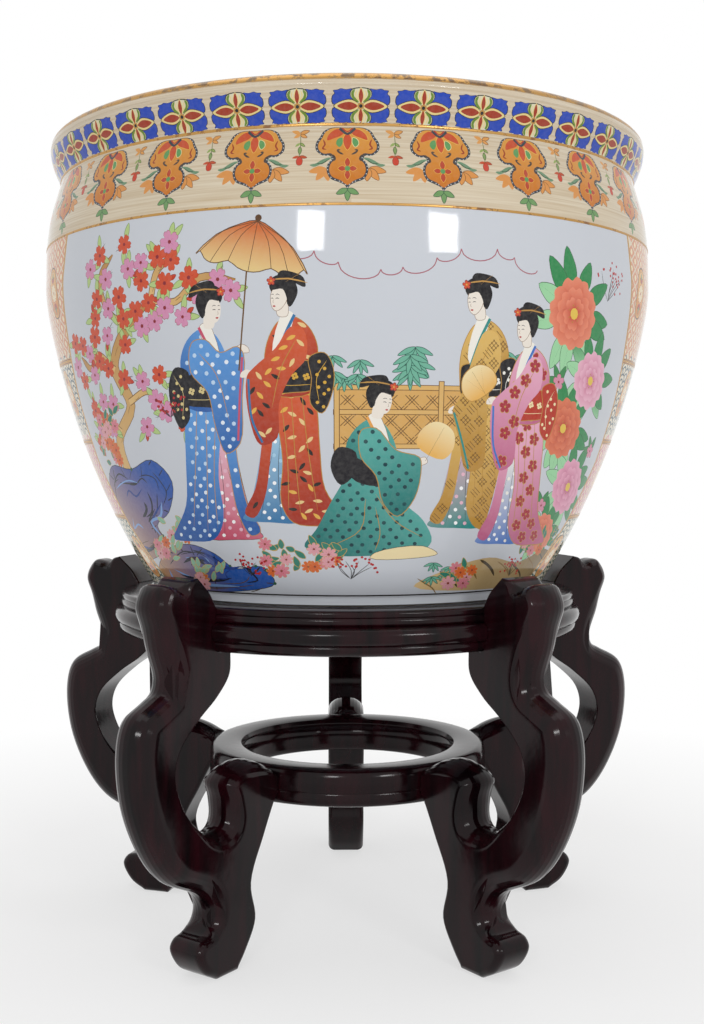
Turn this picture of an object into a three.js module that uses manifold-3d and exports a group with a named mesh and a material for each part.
// A porcelain fishbowl planter on a five-legged lacquered wood stand.
// Millimetres, +Z up. The origin lies on the floor under the middle of the whole piece.
//
// The stand: a moulded top ring of five curved segments, five S-shaped legs whose
// heads are coped round that ring, and a small lower ring gripped by the legs' hooks.
// The bowl: one thrown vessel with a recessed base, a turned-in shoulder and a rolled lip.

import * as THREE from "three";
import { mergeVertices } from "three/addons/utils/BufferGeometryUtils.js";
import Module from "manifold-3d";

const manifold = await Module();
manifold.setup();

// ---------- driving dimensions ----------

const LEG_COUNT = 5;
const LEG_THICKNESS = 28;
const JOINT_GAP = 0.3; // clearance between two pieces that touch

// top ring
const RING_TOP = 226; // height of its upper face above the floor
const RING_DEPTH = 27;
const RING_REACH = 160; // radius at the crown of its bead
const RING_HOLE = 113; // inner radius
const RING_LEDGE = 5; // how far the upper moulding stands back from the bead
const RING_LEDGE_DEPTH = 9;
const RING_FOOT_INSET = 8; // how far the underside stands back from the bead
const RING_BEAD_RADIUS = 5.2;
const RING_ARRIS = 1.5; // chamfer of its upper edge
const RING_STEPS = 8; // facets along one segment

// lower ring
const LOWER_TOP = 119;
const LOWER_DEPTH = 24;
const LOWER_REACH = 96;
const LOWER_HOLE = 72;
const LOWER_EDGE = 3.5; // rounding of its long edges
const LOWER_STEPS = 40;

// legs, as radius from the axis and height above the floor
const HEAD_RISE = 18.5; // peak of the head above the top ring
const HEAD_BACK = 15; // peak of the head behind the ring's upper edge
const KNOB_REACH = 200;
const KNOB_HEIGHT = RING_TOP + 2;
const WAIST_REACH = 188.5;
const WAIST_HEIGHT = RING_TOP - 40;
const SHELF_REACH = 141; // inner end of the shelf that carries the top ring
const BELLY_REACH = 220;
const BELLY_HEIGHT = 149;
const BELLY_WIDTH = 30; // from the outer edge to the open gap behind it
const GAP_FLOOR = 88; // bottom of the open gap between belly and hook
const HOOK_WIDTH = 42; // from the lower ring to the outer side of the hook
const HOOK_RISE = 8; // crown of the hook above the lower ring
const SHIN_REACH = 121; // inner edge between the hook and the foot
const SHIN_HEIGHT = 52;
const ANKLE_REACH = 152.5;
const ANKLE_HEIGHT = 38;
const TOE_REACH = 169.5;
const TOE_HEIGHT = 22;
const SOLE_INNER = 134;
const SOLE_OUTER = 152;
const HEEL_REACH = 117;

// rounding of the legs' edges: how far it reaches in from the outline
const FULL_ROUND = LEG_THICKNESS / 2; // the outer edge is worked to a half round
const BALL_ROUND = 8; // at tight turns such as the nose of the hook
const KNOB_ROUND = 6.5; // at the knob of the head, which turns tighter still
const FOOT_ROUND = 5;
const BACK_ROUND = 3;
const CRISP_EDGE = 1.2;
const ROUND_STEPS = 2; // facets across one rounded edge

// dowels
const SHELF_DOWEL_RADIUS = 3.5;
const SHELF_DOWEL_SPREAD = 7; // each side of the middle of the leg
const SHELF_DOWEL_REACH = 150; // radius at which they stand
const DOWEL_BITE = 12; // length of a dowel inside each piece
const HOOK_DOWEL_RADIUS = 4.5;
const DOWEL_END_GAP = 0.8;
const DOWEL_SIDES = 10;

// bowl, as radius and height above its own foot
const BOWL_HEIGHT = 297;
const BOWL_WALL = 9;
const BOWL_FLOOR = 14;
const BOWL_FOOT_RADIUS = 134;
const BOWL_FOOT_BAND = 5.5;
const BOWL_FOOT_WIDTH = 14; // the unglazed ring that it stands on
const BOWL_BASE_RECESS = 4;
const BOWL_FLARE_REACH = 48; // how far and how high the lower wall heads outwards
const BOWL_FLARE_RISE = 74;
const BOWL_BELLY_RADIUS = 203.5;
const BOWL_BELLY_HEIGHT = 200;
const BOWL_BELLY_FULLNESS = 26; // height over which the wall turns upright below the belly
const BOWL_NECK_RADIUS = 193.5;
const BOWL_NECK_HEIGHT = 269.3;
const BOWL_LIP_RADIUS = 199.8;
const BOWL_LIP_HEIGHT = 289;
const BOWL_MOUTH_RADIUS = 180;
const BOWL_SEGMENTS = 44;
const BOWL_BODY_STEPS = 7;
const BOWL_SHOULDER_STEPS = 1; // facets between two stations above the belly
const BOWL_NECK_STATION = 4; // the neck's place in the row of stations above the belly

// ---------- colours ----------

const ROSEWOOD = { color: 0x1c0b0a, roughness: 0.22, metalness: 0 };
const DOWEL_WOOD = { color: 0x8a5a34, roughness: 0.7, metalness: 0 };
const PORCELAIN = { color: 0xcdd1d6, roughness: 0.15, metalness: 0 };

// ---------- making closed solids ----------

// Turns a list of triangles (nine numbers each) into a geometry facing outwards.
function closedGeometry(positions) {
  let volume = 0;
  const a = new THREE.Vector3();
  const b = new THREE.Vector3();
  const c = new THREE.Vector3();
  for (let i = 0; i < positions.length; i += 9) {
    a.fromArray(positions, i);
    b.fromArray(positions, i + 3);
    c.fromArray(positions, i + 6);
    volume += a.dot(b.cross(c));
  }
  if (volume < 0) {
    for (let i = 0; i < positions.length; i += 9) {
      for (let k = 0; k < 3; k++) {
        const kept = positions[i + 3 + k];
        positions[i + 3 + k] = positions[i + 6 + k];
        positions[i + 6 + k] = kept;
      }
    }
  }
  const geometry = new THREE.BufferGeometry();
  geometry.setAttribute("position", new THREE.Float32BufferAttribute(positions, 3));
  return mergeVertices(geometry, 1e-4);
}

// Skins a row of rings that have the same number of points. The first and last ring
// are closed by flat caps, whose triangles are found from capOutline (the same ring
// drawn flat). A row that closes on itself has no caps.
function loft(rings, capOutline = null) {
  const positions = [];
  const corner = (p) => positions.push(p.x, p.y, p.z);
  const count = rings[0].length;
  const bands = capOutline ? rings.length - 1 : rings.length;
  for (let band = 0; band < bands; band++) {
    const near = rings[band];
    const far = rings[(band + 1) % rings.length];
    for (let i = 0; i < count; i++) {
      const j = (i + 1) % count;
      [near[i], near[j], far[j], near[i], far[j], far[i]].forEach(corner);
    }
  }
  if (capOutline) {
    const last = rings[rings.length - 1];
    const clockwise = THREE.ShapeUtils.isClockWise(capOutline);
    for (const triangle of THREE.ShapeUtils.triangulateShape(capOutline, [])) {
      const turned = THREE.ShapeUtils.isClockWise(triangle.map((i) => capOutline[i]));
      const [i, j, k] = turned === clockwise ? triangle : triangle.toReversed();
      [rings[0][k], rings[0][j], rings[0][i]].forEach(corner);
      [last[i], last[j], last[k]].forEach(corner);
    }
  }
  return closedGeometry(positions);
}

// A section drawn as (radius, height) points, swept round the axis.
function sweepSection(section, fromAngle, toAngle, steps) {
  const whole = Math.abs(toAngle - fromAngle - 2 * Math.PI) < 1e-9;
  const rings = [];
  for (let step = 0; step < (whole ? steps : steps + 1); step++) {
    const angle = fromAngle + ((toAngle - fromAngle) * step) / steps;
    const ring = section.map((p) =>
      new THREE.Vector3(p.x * Math.cos(angle), p.x * Math.sin(angle), p.y));
    rings.push(ring);
  }
  return loft(rings, whole ? null : section);
}

// A round pin along Z with chamfered ends, centred on the origin.
function pin(radius, length, chamfer) {
  const half = length / 2;
  const stations = [
    [radius - chamfer, -half],
    [radius, -half + chamfer],
    [radius, half - chamfer],
    [radius - chamfer, half],
  ];
  const circle = (r) => Array.from({ length: DOWEL_SIDES }, (_, i) => {
    const angle = (2 * Math.PI * i) / DOWEL_SIDES;
    return new THREE.Vector2(r * Math.cos(angle), r * Math.sin(angle));
  });
  const rings = stations.map(([r, z]) => circle(r).map((p) => new THREE.Vector3(p.x, p.y, z)));
  return loft(rings, circle(radius));
}

// ---------- joining and cutting ----------

function toSolid(geometry) {
  const clean = geometry.index ? geometry : mergeVertices(geometry, 1e-4);
  const vertProperties = new Float32Array(clean.attributes.position.array);
  const triVerts = new Uint32Array(clean.index.array);
  const mesh = new manifold.Mesh({ numProp: 3, vertProperties, triVerts });
  return new manifold.Manifold(mesh);
}

function fromSolid(solid) {
  const mesh = solid.getMesh();
  const geometry = new THREE.BufferGeometry();
  geometry.setAttribute("position", new THREE.Float32BufferAttribute(mesh.vertProperties, 3));
  geometry.setIndex(Array.from(mesh.triVerts));
  return geometry;
}

function cut(geometry, tools) {
  let solid = toSolid(geometry);
  for (const tool of tools) {
    solid = solid.subtract(toSolid(tool));
  }
  return fromSolid(solid);
}

// ---------- sections of the two rings ----------

// grow adds the same clearance all round, for the cope that receives the ring.
function ringSection(grow = 0) {
  const top = RING_TOP + grow;
  const bottom = RING_TOP - RING_DEPTH - grow;
  const beadTop = RING_TOP - RING_LEDGE_DEPTH;
  const beadCentre = beadTop - RING_BEAD_RADIUS;
  const beadAxis = RING_REACH - RING_BEAD_RADIUS / 2;
  const ledge = RING_REACH - RING_LEDGE + grow;
  const foot = RING_REACH - RING_FOOT_INSET + grow;
  const section = [
    new THREE.Vector2(RING_HOLE - grow, bottom),
    new THREE.Vector2(foot, bottom),
  ];
  // the bead swells out of the splayed lower part
  for (let step = 0; step <= 4; step++) {
    const angle = THREE.MathUtils.lerp(-Math.PI / 3, Math.PI / 2, step / 4);
    const r = beadAxis + (RING_BEAD_RADIUS / 2 + grow) * Math.cos(angle);
    const z = beadCentre + (RING_BEAD_RADIUS + grow) * Math.sin(angle);
    section.push(new THREE.Vector2(r, z));
  }
  section.push(new THREE.Vector2(ledge + 0.8, beadTop + grow + 0.6));
  section.push(new THREE.Vector2(ledge, top - RING_LEDGE_DEPTH * 0.45));
  section.push(new THREE.Vector2(ledge, top - RING_ARRIS));
  section.push(new THREE.Vector2(ledge - RING_ARRIS, top));
  section.push(new THREE.Vector2(RING_HOLE - grow, top));
  return section;
}

function lowerSection(grow = 0) {
  const half = LOWER_DEPTH / 2 + grow;
  const middle = LOWER_TOP - LOWER_DEPTH / 2;
  const outer = LOWER_REACH + grow;
  const inner = LOWER_HOLE - grow;
  const section = [];
  const rounded = (r, z, start) => {
    for (let step = 0; step <= 2; step++) {
      const angle = start + (step * Math.PI) / 4;
      const turnedR = r + LOWER_EDGE * Math.cos(angle);
      const turnedZ = z + LOWER_EDGE * Math.sin(angle);
      section.push(new THREE.Vector2(turnedR, turnedZ));
    }
  };
  rounded(outer - LOWER_EDGE, middle - half + LOWER_EDGE, -Math.PI / 2);
  rounded(outer - LOWER_EDGE, middle + half - LOWER_EDGE, 0);
  rounded(inner + LOWER_EDGE, middle + half - LOWER_EDGE, Math.PI / 2);
  rounded(inner + LOWER_EDGE, middle - half + LOWER_EDGE, Math.PI);
  return section;
}

// ---------- the leg ----------

// One stretch of the outline: a smooth curve through stations, each given as radius,
// height and how far the edge rounding reaches in there.
function stretch(stations, pointsPerSpan = 2) {
  const points = stations.map(([r, z, round]) => new THREE.Vector3(r, z, round));
  const curve = new THREE.CatmullRomCurve3(points, false, "centripetal");
  return curve.getPoints((stations.length - 1) * pointsPerSpan);
}

// The leg's outline, from the toe of the head round the outer edge, the foot, the hook
// and the open gap, back to the shelf under the ring.
function legOutline() {
  const headToe = RING_REACH - RING_LEDGE - 1;
  const peak = RING_REACH - RING_LEDGE + HEAD_BACK;
  const peakHeight = RING_TOP + HEAD_RISE;
  const creaseReach = (peak + KNOB_REACH) / 2 - 4;
  const shelf = RING_TOP - RING_DEPTH;
  const hookInner = LOWER_REACH - 1.5;
  const hookOuter = LOWER_REACH + HOOK_WIDTH;
  const hookTop = LOWER_TOP + HOOK_RISE;
  const gapOuter = BELLY_REACH - BELLY_WIDTH;
  const gapSpan = gapOuter - hookOuter;
  const bulge = BELLY_REACH - WAIST_REACH;

  const headSlope = stretch([
    [headToe, RING_TOP, CRISP_EDGE],
    [headToe + 6, RING_TOP + HEAD_RISE * 0.5, CRISP_EDGE],
    [peak - 4.5, peakHeight - 4, CRISP_EDGE],
    [peak, peakHeight, CRISP_EDGE],
  ], 1);
  const headRoll = stretch([
    [peak, peakHeight, CRISP_EDGE],
    [peak + 5.5, peakHeight - 1.5, KNOB_ROUND / 2],
    [creaseReach, peakHeight - 6, KNOB_ROUND],
  ]);
  const outerEdge = stretch([
    [creaseReach, peakHeight - 6, KNOB_ROUND],
    [creaseReach + 5, peakHeight - 3.5, KNOB_ROUND],
    [KNOB_REACH - 8, KNOB_HEIGHT + 13.5, KNOB_ROUND],
    [KNOB_REACH - 2.5, KNOB_HEIGHT + 8.5, BALL_ROUND],
    [KNOB_REACH, KNOB_HEIGHT, BALL_ROUND],
    [KNOB_REACH - 3.5, KNOB_HEIGHT - 12, BALL_ROUND * 1.2],
    [(KNOB_REACH + WAIST_REACH) / 2, KNOB_HEIGHT - 24, FULL_ROUND],
    [WAIST_REACH, WAIST_HEIGHT, FULL_ROUND],
    [WAIST_REACH + bulge * 0.06, WAIST_HEIGHT - 7, FULL_ROUND],
    [WAIST_REACH + bulge * 0.28, WAIST_HEIGHT - 11, FULL_ROUND],
    [BELLY_REACH - bulge * 0.2, BELLY_HEIGHT + 17, FULL_ROUND],
    [BELLY_REACH, BELLY_HEIGHT, FULL_ROUND],
    [BELLY_REACH - bulge * 0.11, BELLY_HEIGHT - 34, FULL_ROUND],
    [BELLY_REACH - bulge * 0.57, GAP_FLOOR - 4, FULL_ROUND],
    [(BELLY_REACH + ANKLE_REACH) / 2, ANKLE_HEIGHT + 28, FULL_ROUND],
    [ANKLE_REACH + 6.5, ANKLE_HEIGHT + 13, FULL_ROUND],
    [ANKLE_REACH, ANKLE_HEIGHT, FULL_ROUND * 0.7],
    [ANKLE_REACH + 4.5, TOE_HEIGHT + 6, FOOT_ROUND],
    [TOE_REACH - 3.5, TOE_HEIGHT + 3, FOOT_ROUND],
    [TOE_REACH, TOE_HEIGHT - 3, FOOT_ROUND],
    [TOE_REACH - 6.5, 7, FOOT_ROUND],
    [SOLE_OUTER, 0, FOOT_ROUND],
  ]);
  const backEdge = stretch([
    [SOLE_INNER, 0, FOOT_ROUND],
    [(SOLE_INNER + HEEL_REACH) / 2, 10, FOOT_ROUND],
    [HEEL_REACH, ANKLE_HEIGHT - 10, BACK_ROUND],
    [SHIN_REACH, SHIN_HEIGHT, BACK_ROUND],
    [(SHIN_REACH + LOWER_REACH) / 2, (SHIN_HEIGHT + LOWER_TOP - LOWER_DEPTH) / 2 + 5, BACK_ROUND],
    [LOWER_REACH + 2.5, LOWER_TOP - LOWER_DEPTH + 2, BACK_ROUND],
    [hookInner, LOWER_TOP - LOWER_DEPTH + 8, BACK_ROUND],
  ]);
  const hookCrown = stretch([
    [hookInner, LOWER_TOP - 6, BACK_ROUND],
    [LOWER_REACH + 5, hookTop - 6, BALL_ROUND],
    [LOWER_REACH + HOOK_WIDTH * 0.55, hookTop, FULL_ROUND * 0.9],
    [hookOuter - 4, hookTop - 4, BALL_ROUND],
    [hookOuter + 3.5, LOWER_TOP - 3, BALL_ROUND],
    [hookOuter + 1, LOWER_TOP - 14, BALL_ROUND * 1.3],
    [hookOuter + gapSpan * 0.04, GAP_FLOOR + 4, FULL_ROUND],
    [hookOuter + gapSpan * 0.19, GAP_FLOOR, FULL_ROUND * 0.9],
    [hookOuter + gapSpan * 0.6, GAP_FLOOR + 8, BALL_ROUND / 2],
    [hookOuter + gapSpan * 0.87, GAP_FLOOR + 23, CRISP_EDGE],
    [gapOuter, BELLY_HEIGHT - 19, CRISP_EDGE],
    [gapOuter - 4, BELLY_HEIGHT - 4, CRISP_EDGE],
    [WAIST_REACH - 18.5, BELLY_HEIGHT + 11.5, CRISP_EDGE],
    [SHELF_REACH + 12, BELLY_HEIGHT + 23.5, CRISP_EDGE],
    [SHELF_REACH + 1, BELLY_HEIGHT + 36, CRISP_EDGE],
    [SHELF_REACH, shelf, CRISP_EDGE],
  ]);
  const outline = [];
  for (const part of [headSlope, headRoll, outerEdge, backEdge, hookCrown]) {
    for (const point of part) {
      const last = outline[outline.length - 1];
      if (!last || last.distanceTo(point) > 0.05) {
        outline.push(point);
      }
    }
  }
  return outline;
}

// Outward normals of the closed outline, from the two neighbours of each point.
function outlineNormals(outline) {
  const count = outline.length;
  return outline.map((point, i) => {
    const before = outline[(i + count - 1) % count];
    const after = outline[(i + 1) % count];
    const arriving = new THREE.Vector2(point.x - before.x, point.y - before.y).normalize();
    const leaving = new THREE.Vector2(after.x - point.x, after.y - point.y).normalize();
    const along = arriving.add(leaving).normalize();
    return new THREE.Vector2(-along.y, along.x);
  });
}

// The leg is lofted across its thickness: each ring is the outline drawn in by the
// edge rounding at that depth. The reach of the rounding changes along the outline, so
// the outer edge is a half round while the inner edges stay nearly crisp.
function legBlank() {
  const outline = legOutline();
  const normals = outlineNormals(outline);
  const half = LEG_THICKNESS / 2;
  const ringAt = (turn, side) => outline.map((point, i) => {
    const reach = point.z;
    const swell = THREE.MathUtils.smoothstep(reach, FOOT_ROUND, BALL_ROUND);
    const depth = THREE.MathUtils.lerp(reach, half - JOINT_GAP, swell);
    const inset = reach * (1 - Math.cos(turn));
    const offset = half - depth + depth * Math.sin(turn);
    return new THREE.Vector3(
      point.x - normals[i].x * inset,
      side * offset,
      point.y - normals[i].y * inset,
    );
  });
  const rings = [];
  for (let step = ROUND_STEPS; step >= 0; step--) {
    rings.push(ringAt((step / ROUND_STEPS) * (Math.PI / 2), -1));
  }
  for (let step = 0; step <= ROUND_STEPS; step++) {
    rings.push(ringAt((step / ROUND_STEPS) * (Math.PI / 2), 1));
  }
  const face = rings[rings.length - 1].map((p) => new THREE.Vector2(p.x, p.z));
  return loft(rings, face);
}

function legGeometry(copes, holes) {
  return cut(legBlank(), [...copes, ...holes]);
}

// ---------- the bowl ----------

// The outer wall from the foot up to the outer edge of the lip.
function bowlWall() {
  const lower = new THREE.CubicBezierCurve(
    new THREE.Vector2(BOWL_FOOT_RADIUS, BOWL_FOOT_BAND),
    new THREE.Vector2(BOWL_FOOT_RADIUS + BOWL_FLARE_REACH, BOWL_FOOT_BAND + BOWL_FLARE_RISE),
    new THREE.Vector2(BOWL_BELLY_RADIUS, BOWL_BELLY_HEIGHT - BOWL_BELLY_FULLNESS),
    new THREE.Vector2(BOWL_BELLY_RADIUS, BOWL_BELLY_HEIGHT),
  );
  const fall = BOWL_BELLY_RADIUS - BOWL_NECK_RADIUS;
  const rise = BOWL_NECK_HEIGHT - BOWL_BELLY_HEIGHT;
  const flare = BOWL_LIP_RADIUS - BOWL_NECK_RADIUS;
  const throat = BOWL_LIP_HEIGHT - BOWL_NECK_HEIGHT;
  const shoulder = [
    [BOWL_BELLY_RADIUS, BOWL_BELLY_HEIGHT],
    [BOWL_BELLY_RADIUS - fall * 0.1, BOWL_BELLY_HEIGHT + rise * 0.4],
    [BOWL_BELLY_RADIUS - fall * 0.36, BOWL_BELLY_HEIGHT + rise * 0.66],
    [BOWL_BELLY_RADIUS - fall * 0.8, BOWL_BELLY_HEIGHT + rise * 0.88],
    [BOWL_NECK_RADIUS, BOWL_NECK_HEIGHT],
    [BOWL_NECK_RADIUS + flare * 0.45, BOWL_NECK_HEIGHT + throat * 0.37],
    [BOWL_NECK_RADIUS + flare * 0.85, BOWL_NECK_HEIGHT + throat * 0.72],
    [BOWL_LIP_RADIUS, BOWL_LIP_HEIGHT],
  ];
  const upper = new THREE.CatmullRomCurve3(
    shoulder.map(([r, z]) => new THREE.Vector3(r, z, 0)), false, "centripetal");
  return [
    ...lower.getPoints(BOWL_BODY_STEPS),
    ...upper.getPoints((shoulder.length - 1) * BOWL_SHOULDER_STEPS).slice(1),
  ].map((p) => new THREE.Vector2(p.x, p.y));
}

// The same wall seen from inside, one wall thickness in along its normals.
function insideOf(wall) {
  return wall.map((point, i) => {
    const before = wall[Math.max(i - 1, 0)];
    const after = wall[Math.min(i + 1, wall.length - 1)];
    const along = after.clone().sub(before).normalize();
    return new THREE.Vector2(point.x - along.y * BOWL_WALL, point.y + along.x * BOWL_WALL);
  });
}

function bowlGeometry() {
  const wall = bowlWall();
  const neck = BOWL_BODY_STEPS + BOWL_NECK_STATION * BOWL_SHOULDER_STEPS;
  const lining = insideOf(wall)
    .filter((p, i) => p.y > BOWL_FLOOR + BOWL_WALL && i <= neck)
    .reverse();
  const lipMiddle = (BOWL_LIP_RADIUS + BOWL_MOUTH_RADIUS) / 2;
  const profile = [
    new THREE.Vector2(0, BOWL_BASE_RECESS),
    new THREE.Vector2(BOWL_FOOT_RADIUS - BOWL_FOOT_WIDTH - BOWL_BASE_RECESS, BOWL_BASE_RECESS),
    new THREE.Vector2(BOWL_FOOT_RADIUS - BOWL_FOOT_WIDTH, 0),
    new THREE.Vector2(BOWL_FOOT_RADIUS, 0),
    ...wall,
    new THREE.Vector2(BOWL_LIP_RADIUS - 1.2, BOWL_HEIGHT - 3),
    new THREE.Vector2(BOWL_LIP_RADIUS - 4.5, BOWL_HEIGHT - 0.5),
    new THREE.Vector2(lipMiddle, BOWL_HEIGHT),
    new THREE.Vector2(BOWL_MOUTH_RADIUS + 2, BOWL_HEIGHT - 1.5),
    new THREE.Vector2(BOWL_MOUTH_RADIUS, BOWL_HEIGHT - 6),
    ...lining,
    new THREE.Vector2(BOWL_FOOT_RADIUS - BOWL_WALL, BOWL_FLOOR + BOWL_WALL * 0.4),
    new THREE.Vector2(BOWL_FOOT_RADIUS - BOWL_WALL * 2, BOWL_FLOOR),
    new THREE.Vector2(0, BOWL_FLOOR),
  ];
  const lathe = new THREE.LatheGeometry(profile, BOWL_SEGMENTS);
  lathe.deleteAttribute("normal");
  lathe.deleteAttribute("uv");
  lathe.rotateX(Math.PI / 2);
  return tidyLathe(lathe);
}

// Merges the seam and the poles of a lathe and drops the triangles that they flatten.
function tidyLathe(lathe) {
  const merged = mergeVertices(lathe, 1e-4);
  const { position } = merged.attributes;
  const index = merged.index.array;
  const positions = [];
  for (let i = 0; i < index.length; i += 3) {
    const [a, b, c] = [index[i], index[i + 1], index[i + 2]];
    if (a !== b && b !== c && c !== a) {
      for (const v of [a, b, c]) {
        positions.push(position.getX(v), position.getY(v), position.getZ(v));
      }
    }
  }
  return closedGeometry(positions);
}

// ---------- assembly ----------

const LEG_NAMES = ["leg_back", "leg_left_back", "leg_left_front", "leg_right_front", "leg_right_back"];
const SEGMENT_PLACES = ["left_back", "left", "front", "right", "right_back"];
const LEG_PITCH = (2 * Math.PI) / LEG_COUNT;
const RING_BOTTOM = RING_TOP - RING_DEPTH;
const LOWER_MIDDLE = LOWER_TOP - LOWER_DEPTH / 2;
const legAngle = (k) => Math.PI / 2 + k * LEG_PITCH;

function piece(name, geometry, look, angle = 0) {
  geometry.computeVertexNormals();
  const mesh = new THREE.Mesh(geometry, new THREE.MeshStandardMaterial(look));
  mesh.name = name;
  mesh.rotation.z = angle;
  return mesh;
}

// Shelf dowels stand in pairs, one in each ring segment that meets over the leg.
const shelfDowelPlaces = [-SHELF_DOWEL_SPREAD, SHELF_DOWEL_SPREAD].map((side) =>
  new THREE.Vector3(SHELF_DOWEL_REACH, side, RING_BOTTOM - JOINT_GAP / 2));

function shelfDowel(place, growth = 0) {
  const length = 2 * (DOWEL_BITE + (growth > 0 ? DOWEL_END_GAP : 0));
  const geometry = pin(SHELF_DOWEL_RADIUS + growth, length, growth > 0 ? 0.1 : 1);
  return geometry.translate(place.x, place.y, place.z);
}

// The hook dowel lies along the leg's radius and joins the hook to the lower ring.
function hookDowel(growth = 0) {
  const length = 2 * (DOWEL_BITE + (growth > 0 ? DOWEL_END_GAP : 0));
  const geometry = pin(HOOK_DOWEL_RADIUS + growth, length, growth > 0 ? 0.1 : 1);
  return geometry.rotateY(Math.PI / 2).translate(LOWER_REACH + JOINT_GAP / 2, 0, LOWER_MIDDLE);
}

function buildStand() {
  const stand = new THREE.Group();
  const fullTurn = 2 * Math.PI;
  const ringCope = sweepSection(ringSection(JOINT_GAP), 0, fullTurn, LEG_COUNT * RING_STEPS);
  const lowerCope = sweepSection(lowerSection(JOINT_GAP), 0, fullTurn, LOWER_STEPS);
  const shelfHoles = shelfDowelPlaces.map((place) => shelfDowel(place, JOINT_GAP));
  const leg = legGeometry([ringCope, lowerCope], [...shelfHoles, hookDowel(JOINT_GAP)]);

  const endGap = JOINT_GAP / 2 / RING_HOLE;
  const segment = sweepSection(ringSection(), endGap, LEG_PITCH - endGap, RING_STEPS);
  const [, startHole] = shelfHoles;
  const endHole = shelfHoles[0].clone().rotateZ(LEG_PITCH);
  const drilledSegment = cut(segment, [startHole, endHole]);

  const lowerHoles = [];
  for (let k = 0; k < LEG_COUNT; k++) {
    const angle = legAngle(k);
    stand.add(piece(LEG_NAMES[k], leg.clone(), ROSEWOOD, angle));
    stand.add(piece(`top_ring_${SEGMENT_PLACES[k]}`, drilledSegment.clone(), ROSEWOOD, angle));
    shelfDowelPlaces.forEach((place, side) => {
      const dowel = shelfDowel(place);
      stand.add(piece(`shelf_dowel_${k + 1}${"ab"[side]}`, dowel, DOWEL_WOOD, angle));
    });
    stand.add(piece(`hook_dowel_${k + 1}`, hookDowel(), DOWEL_WOOD, angle));
    lowerHoles.push(hookDowel(JOINT_GAP).rotateZ(angle));
  }
  const lowerRing = sweepSection(lowerSection(), 0, fullTurn, LOWER_STEPS).rotateZ(Math.PI / 2);
  stand.add(piece("lower_ring", cut(lowerRing, lowerHoles), ROSEWOOD));
  return stand;
}

const jardiniere = new THREE.Group();
const bowl = piece("bowl", bowlGeometry(), PORCELAIN);
bowl.position.z = RING_TOP + JOINT_GAP;
jardiniere.add(buildStand(), bowl);

// One leg stands straight back and two straddle the front, so the axis of the bowl is
// not the middle of the whole: the model is moved so that the origin is.
const reachBack = BELLY_REACH;
const reachFront = Math.max(
  BOWL_BELLY_RADIUS,
  BELLY_REACH * Math.cos(LEG_PITCH / 2) + (LEG_THICKNESS / 2) * Math.sin(LEG_PITCH / 2),
);
jardiniere.position.y = (reachFront - reachBack) / 2;

export default jardiniere;
